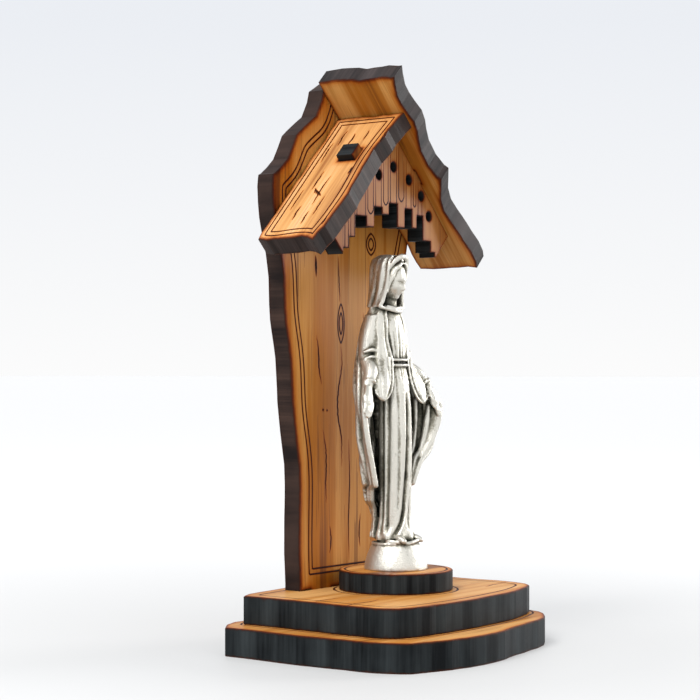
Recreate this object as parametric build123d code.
from build123d import *
import os
from math import sqrt

# A small laser-cut wooden wayside shrine with a cast metal figure of a veiled woman in it.
# Millimetres. +Z is up, the open front faces -Y, and +X is to the right seen from the front.
# The origin is the centre of the underside of the bottom plate.

# ---------------------------------------------------------------- driving dimensions
plate_thickness = 9.0          # the two base plates
board_thickness = 6.5          # plinth disc, back board, gable board and roof panels
base_half_width = 54.2         # widest half width of the bottom plate
base_half_depth = 40.5         # deepest half depth of the bottom plate

disc_radius = 18.4
figure_y = 6.3                 # the disc and the figure stand a little behind the middle
stud_radius = 2.0
stud_in_figure = 5.0
stud_in_plate = 6.0

dowel_radius = 2.5
dowel_depth = 6.0              # how far each dowel enters each base plate
dowel_x = 30.0
dowel_y = -12.0

board_front_y = 26.5           # the roof panels end on this face of the back board
foot_tenon_width = 11.0
foot_tenon_x = 13.0

apex_z = 166.5                 # where the undersides of the two roof panels meet
gable_front_y = 7.5
tenon_start = 17.3             # measured down the slope from the apex
tenon_width = 5.5
tenon_proud = 2.2              # how far the tenon ends stand out of the roof
hole_radius = 1.6

figure_turn = -5.0            # the figure is turned a little towards -X
globe_radius = 10.2
globe_height = 9.5

# ---------------------------------------------------------------- levels and directions
upper_bottom_z = plate_thickness
upper_top_z = 2 * plate_thickness
disc_top_z = upper_top_z + board_thickness
board_back_y = board_front_y + board_thickness
slope = 1 / sqrt(2)            # both panels lie at 45 degrees
ridge_x = -board_thickness * slope
ridge_z = apex_z + board_thickness * slope

os.makedirs("parts", exist_ok=True)


# ---------------------------------------------------------------- helpers
def face_of_runs(runs):
    """A closed face whose edge is made of runs: a straight line for two points, else a curve."""
    edges = []
    for run in runs:
        if len(run) == 2:
            edges.append(Line(*run))
        else:
            edges.append(Spline(*run))
    return make_face(edges)


def upright(face, back_y, thickness):
    """Stand a face drawn in X and Z on the plane Y = back_y and thicken it towards the front."""
    plane = Plane(origin=(0, back_y, 0), x_dir=(1, 0, 0), z_dir=(0, -1, 0))
    return extrude(plane * face, amount=thickness)


def round_pin(x, y, low_z, high_z, radius):
    """A straight vertical pin."""
    return Pos(x, y, (low_z + high_z) / 2) * Cylinder(radius, high_z - low_z)


def single(shape):
    """The one solid of a shape."""
    return shape.solids()[0]


# ---------------------------------------------------------------- base plates
def bottom_plate_runs():
    """Wavy outline of the bottom plate, anticlockwise from its back left corner."""
    w = base_half_width
    d = base_half_depth
    return [
        [(-41.0, d - 0.3), (-47.5, 38.0), (-52.8, 33.8)],
        [(-52.8, 33.8), (-53.3, 20.0), (-w, 4.5), (-53.4, -8.0), (-53.3, -19.8)],
        [(-53.3, -19.8), (-51.3, -27.0), (-47.3, -32.9)],
        [(-47.3, -32.9), (-35.4, -37.4), (-13.9, -d + 0.1), (4.5, -37.6), (17.0, -35.7), (25.4, -34.2)],
        [(25.4, -34.2), (33.0, -30.5), (37.5, -27.1), (41.6, -20.5)],
        [(41.6, -20.5), (45.5, -8.0), (w, 9.0), (52.6, 22.0), (51.5, 33.0)],
        [(51.5, 33.0), (46.5, 37.6), (40.0, d - 0.4)],
        [(40.0, d - 0.4), (18.0, 39.4), (0.0, d), (-20.0, 39.6), (-41.0, d - 0.3)],
    ]


def top_plate_runs():
    """Wavy outline of the upper plate, which stands about 10 mm inside the bottom one."""
    return [
        [(-34.0, 36.4), (-39.8, 35.8), (-44.3, 33.4)],
        [(-44.3, 33.4), (-44.6, 16.0), (-45.2, -1.0), (-45.7, -18.9)],
        [(-45.7, -18.9), (-43.6, -23.0), (-39.9, -26.1)],
        [(-39.9, -26.1), (-23.7, -28.8), (-8.0, -29.8), (7.0, -29.2), (20.5, -27.6), (30.8, -24.8)],
        [(30.8, -24.8), (35.5, -22.8), (38.1, -20.4), (40.1, -14.9)],
        [(40.1, -14.9), (41.5, -5.2), (40.9, 5.0), (42.0, 18.0), (41.5, 31.5)],
        [(41.5, 31.5), (38.5, 35.0), (33.0, 36.6)],
        [(33.0, 36.6), (12.0, 35.8), (-12.0, 37.0), (-34.0, 36.4)],
    ]


def plate(runs, bottom_z):
    face = face_of_runs(runs)
    return extrude(Pos(0, 0, bottom_z) * face, amount=plate_thickness)


def base_dowel(x):
    low = upper_bottom_z - dowel_depth
    high = upper_bottom_z + dowel_depth
    return round_pin(x, dowel_y, low, high, dowel_radius)


def foot_tenon(x, deep):
    """Rectangular tongue under the back board, which fills a mortise in the upper plate."""
    centre_y = (board_front_y + board_back_y) / 2
    return Pos(x, centre_y, upper_top_z - deep / 2) * Box(foot_tenon_width, board_thickness, deep)


# ---------------------------------------------------------------- back board
def left_board_edge():
    """The wavy left edge of the back board from its foot up to its stepped shoulder, as (x, z)."""
    trunk = [(-24.2, upper_top_z), (-24.8, 43.0), (-25.2, 60.0), (-28.2, 76.0), (-29.4, 92.0),
             (-32.2, 106.0), (-33.6, 123.0), (-37.6, 137.0), (-37.9, 150.3)]
    steps = [[(-37.9, 150.3), (-34.2, 152.6), (-30.6, 155.6)],
             [(-30.6, 155.6), (-28.2, 159.6), (-26.0, 163.7)],
             [(-26.0, 163.7), (-21.4, 167.2), (-15.8, 170.8)],
             [(-15.8, 170.8), (-13.4, 175.2), (-11.8, 179.6)],
             [(-11.8, 179.6), (-5.7, 183.2)],
             [(-5.7, 183.2), (0.0, 184.6)]]
    return [trunk] + steps


def mirrored(runs):
    """The same runs on the other side of the middle plane, in the order that closes the outline."""
    other_side = []
    for run in reversed(runs):
        other_side.append([(-x, z) for x, z in reversed(run)])
    return other_side


def back_board():
    left = left_board_edge()
    foot = [(24.2, upper_top_z), (-24.2, upper_top_z)]
    board = upright(face_of_runs(left + mirrored(left) + [foot]), board_back_y, board_thickness)
    for x in (-foot_tenon_x, foot_tenon_x):
        board += foot_tenon(x, plate_thickness)
    return single(board)


# ---------------------------------------------------------------- roof
# Both roof panels are drawn as (s, y): s runs down the slope from the ridge joint, y to the back.
left_slope_plane = Plane(origin=(ridge_x, 0, ridge_z), x_dir=(-1, 0, -1), z_dir=(1, 0, -1))
right_slope_plane = Plane(origin=(ridge_x, 0, ridge_z), x_dir=(1, 0, -1), z_dir=(1, 0, 1))


def left_panel_runs():
    return [
        [(0.0, board_front_y), (0.0, 0.0)],
        [(0.0, 0.0), (9.6, 1.2), (23.5, 2.3), (36.8, 1.3), (47.8, 1.6), (56.0, 2.6), (60.6, 3.9)],
        [(60.6, 3.9), (59.2, 9.0), (59.5, 15.0), (60.1, 21.5), (59.0, 26.0)],
        [(59.0, 26.0), (57.0, board_front_y)],
        [(57.0, board_front_y), (0.0, board_front_y)],
    ]


def right_panel_runs():
    return [
        [(-14.7, board_front_y), (-15.0, 16.0), (-14.1, 7.5), (-14.4, 1.0), (-13.6, -3.0)],
        [(-13.6, -3.0), (-8.5, -1.6), (-3.5, -0.7), (0.8, -1.3), (4.5, -2.0), (9.0, -1.2),
         (15.0, 0.6), (20.0, 1.0), (28.5, -0.9)],
        [(28.5, -0.9), (32.0, 0.2), (36.5, 2.9), (41.2, 4.0), (47.0, 3.4), (54.8, 2.4),
         (61.0, 1.4), (67.5, 3.0)],
        [(67.5, 3.0), (67.2, 10.0), (67.6, 18.0), (67.0, 26.0)],
        [(67.0, 26.0), (65.0, board_front_y)],
        [(65.0, board_front_y), (-14.7, board_front_y)],
    ]


def tenon_slot(start):
    """Through slot for a gable tenon, drawn on a roof panel."""
    slot_y = gable_front_y + board_thickness / 2
    slot = Rectangle(tenon_width, board_thickness)
    return Pos(start + tenon_width / 2, slot_y) * slot


def roof_panel(plane, runs, slot_start):
    face = face_of_runs(runs) - tenon_slot(slot_start)
    return single(extrude(plane * face, amount=board_thickness))


# ---------------------------------------------------------------- gable board
# Slats of the gable from left to right: the x of each right edge and the z of its lower end.
gable_left_tip = (-26.6, 125.0)
gable_right_tip = (25.2, 126.4)
gable_slats = [(-23.5, 127.0), (-20.2, 130.6), (-14.4, 137.5), (-10.1, 134.3), (-5.8, 140.9),
               (-2.0, 138.8), (2.7, 142.6), (6.9, 135.1), (11.0, 141.4), (13.8, 135.3),
               (17.3, 139.6), (21.9, 131.5), (24.3, 127.9)]
gable_holes = [(-17.1, 146.2), (-7.7, 151.3), (0.5, 154.5), (9.2, 151.0), (16.3, 146.2), (20.8, 139.8)]


def foot_on_roof(tip, side):
    """Where a line from the tip, square to the roof panel on that side, meets its underside."""
    x, z = tip
    gap = (apex_z - abs(x) - z) / 2
    return (x + side * gap, z + gap)


def slope_point(side, down, out):
    """A point down the slope from the apex and out through the roof, as (x, z)."""
    x = side * (down * slope + out * slope)
    z = apex_z - down * slope + out * slope
    return (x, z)


def gable_outline():
    points = [gable_left_tip]
    left_edge = gable_left_tip[0]
    for right_edge, low_z in gable_slats:
        points.append((left_edge, low_z))
        points.append((right_edge, low_z))
        left_edge = right_edge
    points.append((left_edge, gable_right_tip[1]))
    points.append(gable_right_tip)
    points.append(foot_on_roof(gable_right_tip, 1))
    tenon_end = tenon_start + tenon_width
    out = board_thickness + tenon_proud
    points += [slope_point(1, tenon_end, 0), slope_point(1, tenon_end, out)]
    points += [slope_point(1, tenon_start, out), slope_point(1, tenon_start, 0)]
    points.append((0, apex_z))
    points += [slope_point(-1, tenon_start, 0), slope_point(-1, tenon_start, out)]
    points += [slope_point(-1, tenon_end, out), slope_point(-1, tenon_end, 0)]
    points.append(foot_on_roof(gable_left_tip, -1))
    return points


def gable_board():
    face = make_face(Polyline(*gable_outline(), close=True))
    for x, z in gable_holes:
        face -= Pos(x, z) * Circle(hole_radius)
    return single(upright(face, gable_front_y + board_thickness, board_thickness))


# ---------------------------------------------------------------- cast figure
stud_low_z = upper_top_z - stud_in_plate
figure_stud = round_pin(0, figure_y, stud_low_z, disc_top_z + stud_in_figure, stud_radius)


# Drawn about its own upright axis, facing -Y, then turned and set on the disc.
def stacked_ovals(sections):
    """A body through level ovals, each given as (z, y, half width, half depth)."""
    ovals = []
    for z, y, half_width, half_depth in sections:
        ovals.append(Pos(0, y, z) * Ellipse(half_width, half_depth))
    return loft(ovals)


def tapered_limb(start, end, start_radius, end_radius):
    """A cone between two points with a ball at each end."""
    a = Vector(*start)
    b = Vector(*end)
    length = (b - a).length
    body = Plane(origin=a, z_dir=b - a) * Pos(0, 0, length / 2) * Cone(start_radius, end_radius, length)
    return body + Pos(*start) * Sphere(start_radius) + Pos(*end) * Sphere(end_radius)


def half_globe():
    """The low dome under the feet: its side is an arc from the rim up to a small flat top."""
    top_radius = 5.0
    top_z = disc_top_z + globe_height
    shoulder = (globe_radius * 0.86, disc_top_z + globe_height * 0.62)
    side = ThreePointArc((globe_radius, disc_top_z), shoulder, (top_radius, top_z))
    rim = Line((0, disc_top_z), (globe_radius, disc_top_z))
    top = Line((top_radius, top_z), (0, top_z))
    middle = Line((0, top_z), (0, disc_top_z))
    section = make_face([rim, side, top, middle])
    return revolve(Plane.XZ * section, axis=Axis.Z)


def figure_arm(side):
    """Wide sleeve from the shoulder down to the wrist, and the open hand held low to the side."""
    shoulder = (side * 5.6, 2.4, 104.5)
    elbow = (side * 8.8, 4.2, 91.5)
    wrist = (side * 14.4, -0.4, 84.0)
    palm = (side * 17.2, -2.2, 78.5)
    fingers = (side * 18.6, -3.0, 74.0)
    sleeve = tapered_limb(shoulder, elbow, 3.4, 3.6) + tapered_limb(elbow, wrist, 3.6, 3.0)
    hand = tapered_limb(wrist, palm, 1.7, 1.9) + tapered_limb(palm, fingers, 1.7, 1.0)
    return sleeve + hand


def standing_figure():
    robe = stacked_ovals([(33.0, -0.6, 6.8, 6.0), (52.0, -0.3, 7.2, 5.6), (75.0, 0.0, 6.8, 5.2),
                          (91.0, 0.3, 5.0, 4.4), (104.0, 0.8, 6.4, 4.2), (109.0, 1.2, 3.6, 3.2)])
    mantle = stacked_ovals([(46.0, 3.4, 8.4, 4.6), (66.0, 3.6, 11.2, 4.8), (82.0, 3.4, 11.6, 5.0),
                            (96.0, 2.8, 9.6, 5.0), (106.0, 2.2, 7.4, 4.6), (111.0, 2.0, 4.4, 4.0)])
    veil = Pos(0, 0.8, 117.4) * scale(Sphere(1), by=(6.0, 6.9, 8.8))
    body = half_globe() + robe + mantle + veil
    for side in (-1, 1):
        body += figure_arm(side)
    body = Pos(0, figure_y, 0) * Rot(0, 0, figure_turn) * body
    return single(body - figure_stud)


# ---------------------------------------------------------------- the pieces
dowels = {"base_dowel_left": base_dowel(-dowel_x), "base_dowel_right": base_dowel(dowel_x)}

lower_plate = plate(bottom_plate_runs(), 0)
upper_plate = plate(top_plate_runs(), upper_bottom_z)
for dowel in dowels.values():
    lower_plate -= dowel
    upper_plate -= dowel
for tenon_x in (-foot_tenon_x, foot_tenon_x):
    upper_plate -= foot_tenon(tenon_x, plate_thickness)
upper_plate -= figure_stud

plinth_disc = round_pin(0, figure_y, upper_top_z, disc_top_z, disc_radius) - figure_stud

pieces = {
    "base_lower_plate": single(lower_plate),
    "base_upper_plate": single(upper_plate),
    "plinth_disc": single(plinth_disc),
    "back_board": back_board(),
    "roof_left_panel": roof_panel(left_slope_plane, left_panel_runs(), tenon_start),
    "roof_right_panel": roof_panel(right_slope_plane, right_panel_runs(), tenon_start + board_thickness),
    "gable_board": gable_board(),
    "madonna_figure": standing_figure(),
    "figure_stud": single(figure_stud),
}
for name, dowel in dowels.items():
    pieces[name] = single(dowel)

for name, solid in pieces.items():
    export_step(solid, f"parts/{name}.step")
